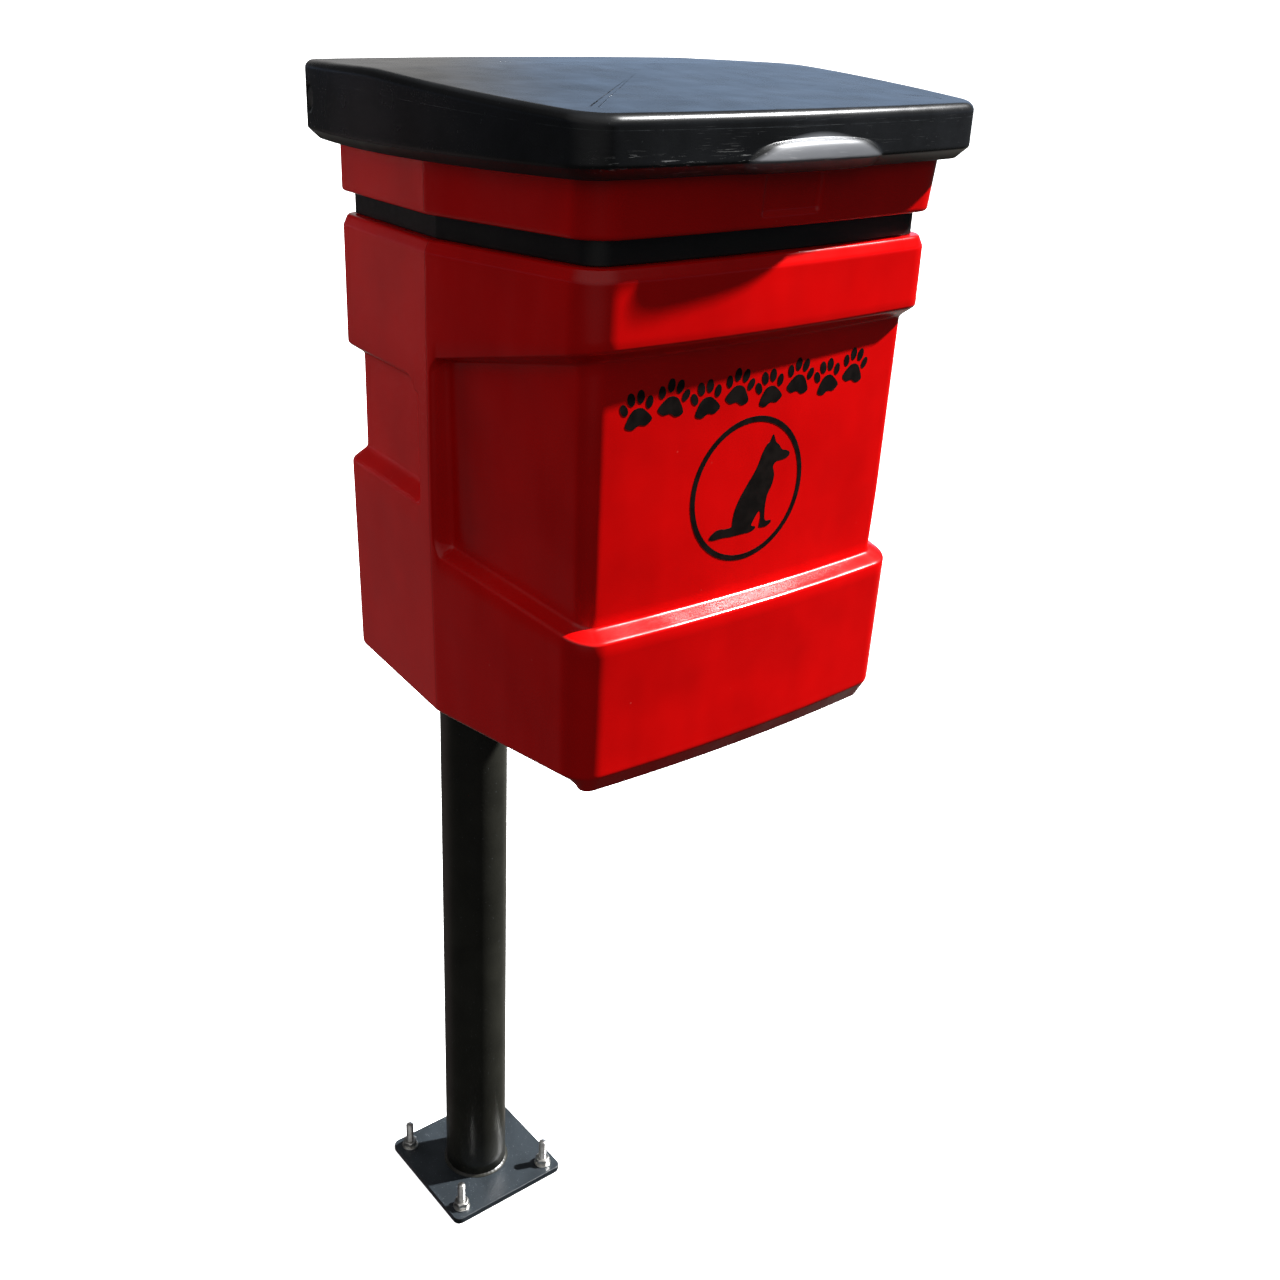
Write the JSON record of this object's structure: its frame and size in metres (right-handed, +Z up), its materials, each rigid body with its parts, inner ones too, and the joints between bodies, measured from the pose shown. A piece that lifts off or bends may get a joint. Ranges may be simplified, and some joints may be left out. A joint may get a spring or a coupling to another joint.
{
  "type": "dog waste bin",
  "caption": "Post-mounted dog waste bin: red moulded body with a black hinged lid, lift-out liner, and a black steel post on a bolted base plate.",
  "frame": {"origin": "on the post's axis at the underside of the base plate, on the ground", "axes": "+Z up along the post, -Y towards the bin's front, x = 0 is the plane of symmetry"},
  "size_m": [0.4524, 0.54, 1.42],
  "materials": {
    "red_plastic": "glossy moulded polyethylene, red",
    "lid_plastic": "glossy moulded polyethylene, black, scuffed at the front edge",
    "black_plastic": "satin moulded plastic, black",
    "black_steel": "fine-textured powder coat, blue-black",
    "zinc_steel": "bright zinc plate",
    "grey_plastic": "satin moulded plastic, dark grey",
    "white_nylon": "natural nylon",
    "black_rubber": "matt black rubber"
  },
  "bodies": {
    "root": {"base_plate": "black_steel", "post_tube": "black_steel", "post_weld": "black_steel", "post_cap": "black_plastic", "anchor_studs": "zinc_steel", "anchor_washers": "zinc_steel", "anchor_nuts": "zinc_steel", "bin_body": "red_plastic", "trim_band": "black_plastic", "hinge_bushes": "white_nylon", "lower_post_bracket": "black_steel", "upper_post_bracket": "black_steel", "lower_post_clamp": "black_steel", "upper_post_clamp": "black_steel", "clamp_bolts": "zinc_steel", "clamp_washers": "zinc_steel", "clamp_nuts": "zinc_steel", "backing_plates": "zinc_steel", "bracket_bolts": "zinc_steel", "bracket_nuts": "zinc_steel"},
    "lid": {"lid_shell": "lid_plastic", "hinge_pins": "zinc_steel", "hinge_pin_caps": "black_plastic", "lid_buffers": "black_rubber"},
    "liner": {"inner_liner": "grey_plastic"}
  },
  "joints": [
    {"name": "lid_hinge", "type": "hinge", "parent": "root", "child": "lid", "pos_m": [0, -0.078, 1.32], "axis": [-1, 0, 0], "range_deg": [0, 100]},
    {"name": "liner_lift", "type": "slide", "parent": "root", "child": "liner", "axis": [0, 0, 1], "range_m": [0, 0.055]}
  ]
}
